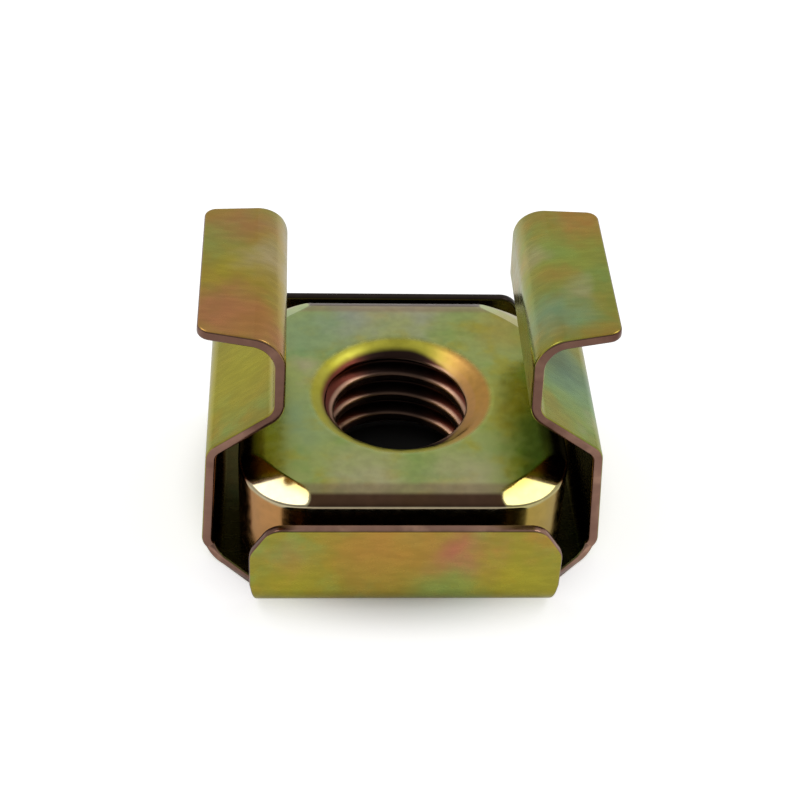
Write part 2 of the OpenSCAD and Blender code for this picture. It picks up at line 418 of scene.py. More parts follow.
def make_cage(cage, coat, edge_coat):
    """The spring cage: a flat blank with its folds laid in by a node tree."""
    arm = arm_line(cage)
    arm_radii = (cage.wall_fold_r, cage.shoulder_r, cage.neck_r, cage.ear_r)
    half = cage.sheet_t / 2
    tab_y = cage.base_l / 2 - half
    tab = [Vector(p) for p in ((0, half), (tab_y, half), (tab_y, cage.tab_h))]
    arm_folds, arm_end = unfolded(arm, arm_radii)
    tab_folds, tab_end = unfolded(tab, (cage.tab_fold_r,))

    bm = bmesh.new()
    outline = blank_quarter(cage, arm_folds, arm_end, tab_folds, tab_end)
    bm.faces.new([bm.verts.new((p.x, p.y, 0)) for p in outline])
    obj = new_object("folded_cage", bm)
    obj.data.materials.append(coat)
    obj.data.materials.append(edge_coat)

    mirror = obj.modifiers.new("Quarters", "MIRROR")
    mirror.use_axis = (True, True, False)
    mirror.merge_threshold = WELD
    sheet = obj.modifiers.new("Sheet", "SOLIDIFY")
    sheet.thickness = cage.sheet_t
    sheet.offset = 0
    sheet.material_offset_rim = 1
    edges = obj.modifiers.new("Tumbled edges", "BEVEL")
    edges.width = cage.edge_r
    edges.segments = 4
    # Only the corners round the rim are sharper than this
    edges.limit_method = "ANGLE"
    edges.angle_limit = math.radians(60)
    edges.use_clamp_overlap = False
    to_plain_mesh(obj)

    # The rows of the folds are cut after the edges are rounded, so that they don't break the rounding
    bm = bmesh.new()
    bm.from_mesh(obj.data)
    cut_rows(bm, arm_folds, Vector((1, 0, 0)), cage.bend_step)
    cut_rows(bm, tab_folds, Vector((0, 1, 0)), cage.bend_step)
    bm.to_mesh(obj.data)
    bm.free()

    names = ("Ear", "Neck", "Shoulder", "Wall", "Tab")
    tree = cage_tree(names, coat, edge_coat)
    folding = obj.modifiers.new("Folds", "NODES")
    folding.node_group = tree
    folding[socket_id(tree, "Sheet")] = cage.sheet_t
    for name, fold in zip(names, arm_folds[::-1] + tab_folds):
        for word, value in zip(FOLD_WORDS, fold):
            folding[socket_id(tree, name + word)] = value
    normals = obj.modifiers.new("Flat faces", "WEIGHTED_NORMAL")
    normals.keep_sharp = True
    to_plain_mesh(obj)
    return obj


# ---------------------------------------------------------------- the tapped nut

def soft_least(a, b, width):
    """The lesser of two heights, with the crease between them rounded."""
    near = max(width - abs(a - b), 0) / width
    return min(a, b) - near * near * width / 4


def nut_reach(nut, turn):
    """Distance from the axis to the upright side at an angle."""
    x, y = abs(math.cos(turn)), abs(math.sin(turn))
    half = nut.width / 2
    flat = half / max(x, y)
    core = half - nut.corner_r
    if min(x, y) * flat <= core:
        return flat
    along = core * (x + y)
    return along + math.sqrt(nut.corner_r ** 2 - 2 * core ** 2 + along ** 2)


def nut_top(nut, turn, r):
    """Height of the top at an angle and radius, under the crowned edges and the turned chamfer."""
    crown_r = (nut.crown_run ** 2 + nut.crown_drop ** 2) / (2 * nut.crown_drop)
    heights = [nut.height - max(r - nut.chamfer_r, 0) * math.tan(nut.chamfer_slope)]
    for part in (math.cos(turn), math.sin(turn)):
        over = min(max(abs(part) * r - (nut.width / 2 - nut.crown_run), 0), nut.crown_run)
        heights.append(nut.height - crown_r + math.sqrt(crown_r ** 2 - over ** 2))
    crown = min(heights[1:])
    if heights[0] == nut.height or crown == nut.height:
        return min(heights[0], crown)
    return soft_least(heights[0], crown, nut.crease)


def nut_profile(nut, turn):
    """Outside of the nut at an angle, as (radius, height) from the bore's upper rim to its lower one."""
    reach = nut_reach(nut, turn)
    inner = nut.sink_r + nut.sink_lip
    beside = inner + 0.05 * MM
    flat_rows, crown_rows, rim_rows, foot_rows = 4, 36, 5, 4
    # The close rows start a little inside the crown, to take in the turned corner
    start = reach - nut.crown_run * 1.35
    rim = reach - nut.rim_r * 0.6
    points = [(inner, nut.height), (beside, nut.height)]
    points += [(inner + (start - inner) * i / flat_rows, nut.height) for i in range(1, flat_rows)]
    edge = [start + (rim - start) * i / crown_rows for i in range(crown_rows + 1)]
    points += [(r, nut_top(nut, turn, r)) for r in edge]
    top = nut_top(nut, turn, reach)
    last = points[-1]
    knee = (reach, top)
    below = (reach, top - nut.rim_r)
    for i in range(1, rim_rows + 1):
        t = i / rim_rows
        points.append(tuple((1 - t) ** 2 * a + 2 * t * (1 - t) * b + t * t * c
                            for a, b, c in zip(last, knee, below)))
    low = nut.foot_r
    points += [(reach, nut.height / 2), (reach, low * 1.5), (reach, low)]
    points += [(reach - low * (1 - math.cos(a)), low * (1 - math.sin(a)))
               for a in (math.pi / 2 * i / foot_rows for i in range(1, foot_rows + 1))]
    points += [(reach - low * 2, 0), ((reach + inner) / 2, 0), (beside, 0), (inner, 0)]
    return points


def thread_tree(coat):
    """The tapped bore: a grid wound round the axis on the helix and cut back by the two countersinks."""
    labels = ("Height", "Minor radius", "Major radius", "Pitch", "Start", "Countersink radius",
              "Countersink slope", "Lip", "Flank slope")
    sockets = [(label, "NodeSocketFloat") for label in labels]
    sockets += [("Columns", "NodeSocketInt"), ("Rows", "NodeSocketInt")]
    tree, given = group("Tapped bore", sockets)
    # The grid has two turns more than the nut's height holds
    pitches = add(tree, MATH, (given["Height"], given["Pitch"]), operation="DIVIDE")[0]
    held = add(tree, MATH, (pitches,), operation="CEIL")[0]
    turns = add(tree, MATH, (held, 2.0), operation="ADD")[0]
    across = add(tree, MATH, (given["Columns"], 1.0), operation="ADD")[0]
    rows = add(tree, MATH, (turns, given["Rows"]), operation="MULTIPLY")[0]
    down = add(tree, MATH, (rows, 1.0), operation="ADD")[0]
    grid = add(tree, "GeometryNodeMeshGrid", (1.0, 1.0, across, down))["Mesh"]
    # Share of a turn round the axis, and turns wound up along the helix
    here = add(tree, "GeometryNodeInputPosition")[0]
    flat = add(tree, "ShaderNodeSeparateXYZ", (here,))
    round_part = add(tree, MATH, (flat["X"], 0.5), operation="ADD")[0]
    up_part = add(tree, MATH, (flat["Y"], 0.5), operation="ADD")[0]
    wound = add(tree, MATH, (up_part, turns), operation="MULTIPLY")[0]
    turn = add(tree, MATH, (round_part, math.tau), operation="MULTIPLY")[0]
    # The winding starts two turns down, so that it covers both faces all the way round
    ahead = add(tree, MATH, (given["Start"], math.tau), operation="DIVIDE")[0]
    started = add(tree, MATH, (ahead, 2.0), operation="SUBTRACT")[0]
    climbed = add(tree, MATH, (wound, round_part), operation="ADD")[0]
    raised = add(tree, MATH, (climbed, started), operation="ADD")[0]
    high = add(tree, MATH, (raised, given["Pitch"]), operation="MULTIPLY")[0]
    capped = add(tree, MATH, (high, given["Height"]), operation="MINIMUM")[0]
    height = add(tree, MATH, (capped, 0.0), operation="MAXIMUM")[0]
    # The thread's form, from the axial distance to the middle of the nearest crest: the crest is a
    # quarter of the pitch wide, and its corners are rounded a little
    aside = add(tree, MATH, (wound, 0.5), operation="PINGPONG")[0]
    beside = add(tree, MATH, (aside, given["Pitch"]), operation="MULTIPLY")[0]
    crest_half = add(tree, MATH, (given["Pitch"], 0.125), operation="MULTIPLY")[0]
    past = add(tree, MATH, (beside, crest_half), operation="SUBTRACT")[0]
    rise = add(tree, MATH, (past, given["Flank slope"]), operation="DIVIDE")[0]
    flank = add(tree, MATH, (given["Minor radius"], rise), operation="ADD")[0]
    soft = add(tree, MATH, (given["Pitch"], 0.04), operation="MULTIPLY")[0]
    crest = add(tree, MATH, (flank, given["Minor radius"], soft), operation="SMOOTH_MAX")[0]
    thread = add(tree, MATH, (crest, given["Major radius"], soft), operation="SMOOTH_MIN")[0]
    # The countersink's cone narrows with the depth below the nearer face
    left = add(tree, MATH, (given["Height"], height), operation="SUBTRACT")[0]
    deep = add(tree, MATH, (height, left), operation="MINIMUM")[0]
    run = add(tree, MATH, (deep, given["Countersink slope"]), operation="MULTIPLY")[0]
    cone = add(tree, MATH, (given["Countersink radius"], run), operation="SUBTRACT")[0]
    # The cone's edge is rounded: it flares out over the last part of the way to the face
    lip_part = add(tree, MATH, (deep, given["Lip"]), operation="DIVIDE")[0]
    lip_left = add(tree, MATH, (1.0, lip_part), operation="SUBTRACT")[0]
    flared = add(tree, MATH, (lip_left, 0.0), operation="MAXIMUM")[0]
    curve = add(tree, MATH, (flared, flared), operation="MULTIPLY")[0]
    flare = add(tree, MATH, (curve, given["Lip"]), operation="MULTIPLY")[0]
    sink = add(tree, MATH, (cone, flare), operation="ADD")[0]
    softer = add(tree, MATH, (given["Pitch"], 0.02), operation="MULTIPLY")[0]
    wall = add(tree, MATH, (thread, sink, softer), operation="SMOOTH_MAX")[0]
    # At the two faces the wall ends exactly on the countersink's rim
    rim = add(tree, MATH, (given["Countersink radius"], given["Lip"]), operation="ADD")[0]
    touching = 1e-7
    inside = add(tree, MATH, (deep, touching), operation="GREATER_THAN")[0]
    outside = add(tree, MATH, (deep, touching), operation="LESS_THAN")[0]
    wall_part = add(tree, MATH, (wall, inside), operation="MULTIPLY")[0]
    rim_part = add(tree, MATH, (rim, outside), operation="MULTIPLY")[0]
    radius = add(tree, MATH, (wall_part, rim_part), operation="ADD")[0]
    cosine = add(tree, MATH, (turn,), operation="COSINE")[0]
    sine = add(tree, MATH, (turn,), operation="SINE")[0]
    x = add(tree, MATH, (radius, cosine), operation="MULTIPLY")[0]
    y = add(tree, MATH, (radius, sine), operation="MULTIPLY")[0]
    place = add(tree, "ShaderNodeCombineXYZ", (x, y, height))[0]
    placed = add(tree, "GeometryNodeSetPosition", {"Geometry": grid, "Position": place})[0]
    welded = add(tree, "GeometryNodeMergeByDistance", {"Geometry": placed, "Distance": WELD})[0]
    smooth = add(tree, "GeometryNodeSetShadeSmooth", {"Geometry": welded})[0]
    real = add(tree, "GeometryNodeRealizeInstances", {"Geometry": smooth})[0]
    done = add(tree, "GeometryNodeSetMaterial", {"Geometry": real, "Material": coat})[0]
    add(tree, "NodeGroupOutput", {"Geometry": done})
    return tree


def make_bore(nut, coat):
    """The tapped bore as a mesh of its own, to be welded to the nut."""
    bore = new_object("bore", bmesh.new())
    tree = thread_tree(coat)
    tapping = bore.modifiers.new("Tap", "NODES")
    tapping.node_group = tree
    sizes = {
        "Height": nut.height, "Minor radius": nut.minor_r, "Major radius": nut.major_r,
        "Pitch": nut.pitch, "Start": nut.thread_start, "Countersink radius": nut.sink_r,
        "Countersink slope": math.tan(nut.sink_angle / 2), "Lip": nut.sink_lip,
        "Flank slope": math.tan(nut.flank_angle / 2), "Columns": nut.columns, "Rows": nut.rows,
    }
    for label, value in sizes.items():
        tapping[socket_id(tree, label)] = value
    to_plain_mesh(bore)
    return bore


def make_nut(nut, coat):
    """The square nut, standing on the sheet of the cage's base."""
    bore = make_bore(nut, coat)
    bm = bmesh.new()
    bm.from_mesh(bore.data)
    rings = []
    for i in range(nut.columns):
        turn = math.tau * i / nut.columns
        way = Vector((math.cos(turn), math.sin(turn), 0))
        rings.append([bm.verts.new(way * r + Vector((0, 0, z))) for r, z in nut_profile(nut, turn)])
    for ring, following in zip(rings, rings[1:] + rings[:1]):
        for a, b, c, d in zip(ring, ring[1:], following[1:], following):
            bm.faces.new((a, b, c, d))
    bmesh.ops.remove_doubles(bm, verts=bm.verts, dist=WELD)
    bmesh.ops.recalc_face_normals(bm, faces=bm.faces)
    bmesh.ops.translate(bm, verts=bm.verts, vec=(0, 0, NUT_LOW.z))
    for face in bm.faces:
        face.smooth = True
    bpy.data.objects.remove(bore)
    obj = new_object("tapped_nut", bm)
    obj.data.materials.append(coat)
    normals = obj.modifiers.new("Flat faces", "WEIGHTED_NORMAL")
    normals.keep_sharp = True
    to_plain_mesh(obj)
    return obj


# ---------------------------------------------------------------- finishes

# Tints of the coat: colour, centre and radius in millimetres, strength
CAGE_TINTS = (
    ("gold", (-6.0, 0.0, 10.0), 6.0, 0.7), ("yellow", (-6.2, -0.5, 5.9), 3.6, 0.9),
    ("green", (6.2, -1.5, 5.8), 3.4, 0.9), ("teal", (6.3, -0.6, 5.7), 2.2, 0.8),
    # The shade tint on the right shoulder, near the bend to the neck, is painted shade
    ("shade", (5.9, 0.0, 6.0), 2.0, 0.5), ("olive", (5.4, -3.7, 6.4), 1.3, 0.9),
    ("pale_wear_and_highlight", (6.9, -2.7, 5.3), 0.8, 0.5), ("gold", (0.0, -7.0, 2.6), 5.0, 0.5),
    # Left ear
    ("pink", (-6.2, -2.7, 10.1), 1.9, 0.8), ("orange", (-5.4, -3.0, 10.1), 1.6, 0.5),
    ("pink", (-5.9, 2.9, 10.1), 1.8, 0.5), ("green", (-6.9, 1.6, 10.1), 1.5, 0.5),
    ("pale_wear_and_highlight", (-5.2, 0.5, 10.1), 1.2, 0.5), ("yellow", (-6.2, 0.0, 10.1), 1.3, 0.5),
    ("pale_wear_and_highlight", (-4.5, 1.0, 9.8), 1.1, 0.5), ("pink", (-4.6, -3.9, 9.6), 1.2, 0.6),
    # Right ear
    ("green", (6.2, -0.2, 10.1), 3.2, 0.6), ("yellow", (5.6, 1.2, 10.1), 2.0, 0.5),
    ("orange", (6.4, 2.9, 10.1), 1.6, 0.7), ("green", (5.4, 1.4, 10.1), 1.5, 0.6),
    ("orange", (5.1, -0.2, 10.1), 1.0, 0.4), ("teal", (4.8, -2.4, 10.0), 1.8, 0.7),
    ("pale_wear_and_highlight", (6.0, -1.1, 10.1), 0.9, 0.4), ("pale_wear_and_highlight", (4.4, 1.5, 9.8), 1.0, 0.4),
    ("orange", (6.8, -3.5, 10.1), 1.0, 0.4),
    # Front tab
    ("pink", (1.9, -7.0, 2.9), 1.7, 0.9), ("green", (1.3, -7.0, 1.0), 1.8, 0.6),
    ("orange", (4.6, -7.0, 3.7), 1.1, 0.5), ("pink", (-4.3, -7.0, 2.4), 1.2, 0.4),
    ("green", (-5.4, -7.0, 2.9), 0.9, 0.6), ("orange", (-0.9, -7.0, 3.2), 2.4, 0.6),
    ("yellow", (4.0, -7.0, 1.6), 2.2, 0.6), ("yellow", (-4.0, -7.0, 1.2), 1.8, 0.6),
)
NUT_TINTS = (
    ("blue", (-1.7, 4.6, 4.4), 1.6, 0.8), ("teal", (-3.4, 3.6, 4.4), 2.2, 0.5),
    ("blue", (0.7, 4.5, 4.4), 1.2, 0.6), ("gold", (4.3, 4.0, 4.4), 1.9, 0.5),
    ("green", (2.0, 4.9, 4.4), 1.3, 0.6), ("pale_wear_and_highlight", (-3.6, 1.4, 4.4), 1.0, 0.6),
    ("teal", (-4.0, -1.4, 4.4), 2.0, 0.5), ("pale_wear_and_highlight", (-1.5, -4.9, 4.4), 2.0, 0.6),
    ("pale_wear_and_highlight", (2.2, -4.9, 4.4), 2.0, 0.6), ("green", (0.6, -4.0, 4.4), 1.2, 0.5),
    ("yellow", (3.8, -0.6, 4.4), 2.2, 0.5), ("pale_wear_and_highlight", (0.0, 5.7, 4.3), 3.0, 0.6),
)


def layered(tree, tone, layers):
    """Lays colours over a tone, each by its own share."""
    for share, over in layers:
        tone = add(tree, "ShaderNodeMix", {0: share, 6: tone, 7: over}, data_type="RGBA")[2]
    return tone


def tinted(tree, place, base, clouds, tints, finish):
    """Colour of the coat: clouds and patches of tint over a base colour, drawn out of round by noise."""
    # Clouds about 1 mm wide
    for tone, scale in clouds:
        cloud = add(tree, NOISE, {"Vector": place, "Scale": scale / MM, "Detail": 4.0})["Fac"]
        share = add(tree, RANGE, (cloud, 0.48, 0.72, 0.0, 0.6), **SMOOTH)[0]
        base = layered(tree, base, [(share, getattr(finish, tone))])
    # Patches whose outline wanders by up to half of the drift, which is in millimetres
    drift = 2.8
    wander = add(tree, NOISE, {"Vector": place, "Scale": 0.6 / MM, "Detail": 5.0})["Color"]
    drawn = add(tree, VECTOR, (wander, (drift * MM,) * 3, place), operation="MULTIPLY_ADD")[0]
    for tone, centre, radius, strength in tints:
        middle = [(c + drift / 2) * MM for c in centre]
        away = add(tree, VECTOR, (drawn, middle), operation="DISTANCE")["Value"]
        share = add(tree, RANGE, (away, radius * 1.2 * MM, 0.0, 0.0, strength), **SMOOTH)[0]
        base = layered(tree, base, [(share, getattr(finish, tone))])
    return base


def zinc(name):
    """A steel part under a thin coat of zinc chromate: the metal shines through the tint."""
    material = bpy.data.materials.new(name)
    material.use_nodes = True
    tree = material.node_tree
    tree.nodes["Principled BSDF"].inputs["Metallic"].default_value = 1.0
    place = add(tree, "ShaderNodeTexCoord")["Object"]
    return material, tree, place, add(tree, "ShaderNodeSeparateXYZ", (place,))


def finish_zinc(tree, tone, grain, rough):
    """Joins the coat's colour and the grain of the metal below it to the shader."""
    shader = tree.nodes["Principled BSDF"]
    shade = add(tree, RANGE, (grain, *GRAIN, 0.93, 1.07), **SMOOTH)[0]
    shaded = add(tree, VECTOR, {0: tone, "Scale": shade}, operation="SCALE")[0]
    tree.links.new(shaded, shader.inputs["Base Color"])
    tree.links.new(rough, shader.inputs["Roughness"])
    # The grain is 0.002 mm deep
    bump = add(tree, "ShaderNodeBump", {"Height": grain, "Strength": 0.3, "Distance": 0.002 * MM})[0]
    tree.links.new(bump, shader.inputs["Normal"])


def cage_coat(finish, cage):
    """Yellow zinc on rolled spring steel: wandering tints, fine lines along the arms, and painted shade
    on the inside.
    """
    material, tree, place, spot = zinc("yellow_zinc_on_rolled_sheet")
    tone = tinted(tree, place, finish.olive, (("green", 0.8), ("gold", 1.1)), CAGE_TINTS, finish)
    # Painted shade: on the sheet's inner side, below the shoulders, the coat is darkened towards the
    # shade colour, where the inside of the cage lies in shade
    flat = add(tree, "ShaderNodeAttribute", attribute_name="flat")["Vector"]
    depth = add(tree, "ShaderNodeSeparateXYZ", (flat,))["Z"]
    inner = add(tree, MATH, (depth, cage.sheet_t / 4), operation="GREATER_THAN")[0]
    bend = cage.shoulder_h
    below = add(tree, RANGE, (spot["Z"], bend, bend + 1 * MM, 0.85, 0.0), **SMOOTH)[0]
    share = add(tree, MATH, (inner, below), operation="MULTIPLY")[0]
    tone = layered(tree, tone, [(share, finish.shade)])
    # Rolling lines, drawn out along the arms and 0.25 mm apart: coarser than real ones, so that they show
    along = add(tree, VECTOR, (flat, (0.3, 1.0, 1.0)), operation="MULTIPLY")[0]
    grain = add(tree, NOISE, {"Vector": along, "Scale": 4 / MM, "Detail": 4.0})["Fac"]
    rough = add(tree, RANGE, (grain, *GRAIN, 0.2, 0.3), **SMOOTH)[0]
    finish_zinc(tree, tone, grain, rough)
    return material


def cut_edge_coat(finish):
    """Yellow zinc on sheared edges: copper, with the streaks of the shear across the sheet."""
    material, tree, place, spot = zinc("yellow_zinc_on_cut_edge")
    tone = tinted(tree, place, finish.rose, (("umber", 0.5), ("copper", 0.8)), (), finish)
    # From the shoulders up the edges are darker, and the rear tab's edge gets painted shade, as dark as
    # the painted shade inside the cage
    upper = add(tree, RANGE, (spot["Z"], 5.6 * MM, 6.6 * MM, 0.0, 0.45), **SMOOTH)[0]
    rear_edge_shade = add(tree, RANGE, (spot["Y"], 6.0 * MM, 6.4 * MM, 0.0, 0.95), **SMOOTH)[0]
    tone = layered(tree, tone, [(upper, finish.umber), (rear_edge_shade, finish.shade)])
    # Streaks about 0.5 mm apart, drawn out through the sheet
    flat = add(tree, "ShaderNodeAttribute", attribute_name="flat")["Vector"]
    across = add(tree, VECTOR, (flat, (1.0, 1.0, 0.2)), operation="MULTIPLY")[0]
    grain = add(tree, NOISE, {"Vector": across, "Scale": 2 / MM, "Detail": 3.0})["Fac"]
    rough = add(tree, RANGE, (grain, *GRAIN, 0.15, 0.25), **SMOOTH)[0]
    finish_zinc(tree, tone, grain, rough)
    return material


def edge_tone(tree, tone, finish, nut, spot, away, radius):
    """Coat on the nut's crowned edges, sides and turned corners, with painted reflections and highlights
    on them, and the share of those corners.
    """
    low = SHEET_T + nut.height - nut.crown_drop
    flank = nut.width / 2
    ahead = add(tree, MATH, (spot["Y"],), operation="ABSOLUTE")[0]
    side = add(tree, MATH, (away, ahead), operation="MAXIMUM")[0]
    # Where the turned corner lies below the crowned edge
    past = add(tree, MATH, (side, flank - nut.crown_run), operation="SUBTRACT")[0]
    run = add(tree, MATH, (past, 0.0), operation="MAXIMUM")[0]
    square = add(tree, MATH, (run, run), operation="MULTIPLY")[0]
    bend = nut.crown_drop / nut.crown_run ** 2
    crown_fall = add(tree, MATH, (square, bend), operation="MULTIPLY")[0]
    beyond = add(tree, MATH, (radius, nut.chamfer_r), operation="SUBTRACT")[0]
    corner_fall = add(tree, MATH, (beyond, math.tan(nut.chamfer_slope)), operation="MULTIPLY")[0]
    lead = add(tree, MATH, (corner_fall, crown_fall), operation="SUBTRACT")[0]
    turned = add(tree, RANGE, (lead, -0.01 * MM, 0.02 * MM, 0.0, 1.0), **SMOOTH)[0]
    crowned = add(tree, MATH, (1.0, turned), operation="SUBTRACT")[0]
    # Painted reflections: the crowned edges run from a pink band, for the bright surroundings they
    # mirror, to a dark one, for the dark surroundings
    for start, end, strength, over in ((1.1, 0.8, 0.5, finish.rose), (0.6, 0.4, 0.9, finish.umber)):
        near = add(tree, RANGE, (side, flank - start * MM, flank - end * MM, 0.0, strength), **SMOOTH)[0]
        reflection_band = add(tree, MATH, (near, crowned), operation="MULTIPLY")[0]
        tone = layered(tree, tone, [(reflection_band, over)])
    # A pale painted highlight runs along the rim; below it the sides are orange on the left and golden on
    # the right
    rim = add(tree, RANGE, (spot["Z"], low + 0.04 * MM, low - 0.02 * MM, 0.0, 0.8), **SMOOTH)[0]
    right = add(tree, RANGE, (spot["X"], -2 * MM, 2 * MM, 0.0, 1.0), **SMOOTH)[0]
    wall = layered(tree, finish.orange, [(right, finish.gold)])
    foot = low - nut.rim_r
    upright = add(tree, RANGE, (spot["Z"], foot, foot - 0.15 * MM, 0.0, 0.9), **SMOOTH)[0]
    tone = layered(tree, tone, [(rim, finish.pale_wear_and_highlight), (upright, wall)])
    # Painted reflection and highlight on the two front corners: rust red for the arms' dark undersides
    # that they mirror, and ahead of that a pale painted highlight, yellow on the right, with a golden
    # inner edge
    right = add(tree, RANGE, (spot["X"], 2 * MM, 4 * MM, 0.0, 0.4), **SMOOTH)[0]
    start = nut.chamfer_r
    inside = add(tree, RANGE, (radius, start + 0.5 * MM, start, 0.0, 0.7), **SMOOTH)[0]
    front = layered(tree, finish.pale_wear_and_highlight, [(right, finish.yellow), (inside, finish.gold)])
    near = add(tree, RANGE, (spot["Y"], -2.0 * MM, -3.0 * MM, 0.0, 1.0), **SMOOTH)[0]
    front_highlight_share = add(tree, RANGE, (spot["Y"], -4.2 * MM, -4.8 * MM, 0.0, 1.0), **SMOOTH)[0]
    corner = layered(tree, tone, [(near, finish.rust), (front_highlight_share, front)])
    spare = add(tree, MATH, (0.95, upright), operation="SUBTRACT")[0]
    share = add(tree, MATH, (turned, spare), operation="MULTIPLY")[0]
    return layered(tree, tone, [(share, corner)]), share


def bore_tone(tree, tone, finish, nut, spot, away, radius):
    """Coat on the nut's countersink and thread, with painted highlights and shade in the thread, and the
    share of the countersink.
    """
    top = SHEET_T + nut.height
    # The countersink turns orange on the right
    right = add(tree, RANGE, (spot["X"], 0.8 * MM, 2.6 * MM, 0.0, 0.95), **SMOOTH)[0]
    ring = layered(tree, finish.yellow, [(right, finish.orange)])
    rim = nut.sink_r + nut.sink_lip
    sunk = add(tree, RANGE, (radius, rim, nut.sink_r - 0.1 * MM, 0.0, 0.85), **SMOOTH)[0]
    # The thread has copper crests, partly painted highlight, and umber grooves, partly painted shade,
    # redder to the sides and darkened with painted shade in the middle
    wide = add(tree, RANGE, (away, 1.0 * MM, 2.2 * MM, 0.0, 1.0), **SMOOTH)[0]
    shift = add(tree, MATH, (wide, 0.08 * MM), operation="MULTIPLY")[0]
    inward = add(tree, MATH, (radius, shift), operation="SUBTRACT")[0]
    red = add(tree, MATH, (wide, 0.5), operation="MULTIPLY")[0]
    groove_tone_and_shade = layered(tree, finish.umber, [(red, finish.rust)])
    crest = nut.minor_r
    depth = add(tree, RANGE, (inward, crest + 0.02 * MM, crest + 0.14 * MM, 0.0, 1.0), **SMOOTH)[0]
    middle = add(tree, RANGE, (away, 1.8 * MM, 0.8 * MM, 0.0, 0.75), **SMOOTH)[0]
    thread = layered(tree, finish.copper, [(depth, groove_tone_and_shade), (middle, finish.shade)])
    # On the right the countersink's orange reaches further down
    extra = add(tree, RANGE, (spot["X"], 0.4 * MM, 2.6 * MM, 0.0, 0.25 * MM), **SMOOTH)[0]
    height = add(tree, MATH, (spot["Z"], extra), operation="ADD")[0]
    root = nut.major_r
    inside = add(tree, RANGE, (radius, root + 0.15 * MM, root, 0.0, 1.0), **SMOOTH)[0]
    under = add(tree, RANGE, (height, top - 0.15 * MM, top - 0.3 * MM, 0.0, 1.0), **SMOOTH)[0]
    deep = add(tree, MATH, (inside, under), operation="MULTIPLY")[0]
    return layered(tree, tone, [(sunk, ring), (deep, thread)]), sunk


def nut_coat(finish, nut):
    """Yellow zinc on forged steel: cloudy flats with a satin gloss, and glossier turned corners."""
    material, tree, place, spot = zinc("yellow_zinc_on_forged_steel")
    level = add(tree, VECTOR, (place, (1, 1, 0)), operation="MULTIPLY")[0]
    radius = add(tree, VECTOR, (level,), operation="LENGTH")["Value"]
    away = add(tree, MATH, (spot["X"],), operation="ABSOLUTE")[0]
    tone = tinted(tree, place, finish.sage, (("green", 0.7), ("yellow", 0.9)), NUT_TINTS, finish)
    tone, turned = edge_tone(tree, tone, finish, nut, spot, away, radius)
    tone, sunk = bore_tone(tree, tone, finish, nut, spot, away, radius)
    # Grain about 0.4 mm wide
    grain = add(tree, NOISE, {"Vector": place, "Scale": 2.5 / MM, "Detail": 4.0})["Fac"]
    plain = add(tree, RANGE, (grain, *GRAIN, 0.16, 0.26), **SMOOTH)[0]
    duller = add(tree, MATH, (sunk, 0.15), operation="MULTIPLY")[0]
    rough = add(tree, MATH, (plain, duller), operation="ADD")[0]
    gloss = add(tree, MATH, (turned, 0.6), operation="MULTIPLY")[0]
    kept = add(tree, MATH, (1.0, gloss), operation="SUBTRACT")[0]
    finish_zinc(tree, tone, grain, add(tree, MATH, (rough, kept), operation="MULTIPLY")[0])
    return material


# ---------------------------------------------------------------- stage

# Point that the softboxes face, just below the nut's upper face, and their places from there, in
# metres: each shines in one of the nut's two front corners
LIT_POINT = Vector((0, 0, 0.004))
SOFTBOXES = (("softbox_left", (-0.145, 0.066, 0.289)), ("softbox_right", (0.171, 0.063, 0.274)))


def soft_light(name, place, size, power, target):
    """A square softbox that faces a point."""
    lamp = bpy.data.lights.new(name, "AREA")
    lamp.shape = "SQUARE"
    lamp.size = size
    lamp.energy = power
    obj = bpy.data.objects.new(name, lamp)
    bpy.context.collection.objects.link(obj)
    obj.location = place
    obj.rotation_euler = (target - place).to_track_quat("-Z", "Y").to_euler()


def make_floor():
    """White paper, which the camera and the metal see as white and which keeps the nut's shadow, with a
    painted shadow under the bore.
    """
    bm = bmesh.new()
    bmesh.ops.create_grid(bm, x_segments=1, y_segments=1, size=0.5)
    floor = new_object("floor", bm)
    material = bpy.data.materials.new("white_paper")
    material.use_nodes = True
    tree = material.node_tree
    shader = tree.nodes["Principled BSDF"]
    shader.inputs["Roughness"].default_value = 0.9
    place = add(tree, "ShaderNodeTexCoord")["Object"]
    radius = add(tree, VECTOR, (place,), operation="LENGTH")["Value"]
    # Painted shadow: the paper's colour is dark grey where it is seen through the bore
    white = add(tree, RANGE, (radius, 3.2 * MM, 4.2 * MM, 0.0, 1.0), **SMOOTH)[0]
    paper = layered(tree, colour("#303030"), [(white, colour("#F4F4F4"))])
    tree.links.new(paper, shader.inputs["Base Color"])
    # It glows for the camera, and less for the metal, and the glow fades out below the cage
    path = add(tree, "ShaderNodeLightPath")
    mirrored = add(tree, MATH, (path["Is Glossy Ray"], 0.35), operation="MULTIPLY")[0]
    seen = add(tree, MATH, (path["Is Camera Ray"], mirrored), operation="MAXIMUM")[0]
    clear = add(tree, RANGE, (radius, 5.0 * MM, 8.8 * MM, 0.0, 0.6), **SMOOTH)[0]
    strength = add(tree, MATH, (seen, clear), operation="MULTIPLY")[0]
    glow = add(tree, "ShaderNodeEmission", {"Color": (1, 1, 1, 1), "Strength": strength})[0]
    both = add(tree, "ShaderNodeAddShader", (shader.outputs[0], glow))[0]
    tree.links.new(both, tree.nodes["Material Output"].inputs["Surface"])
    floor.data.materials.append(material)


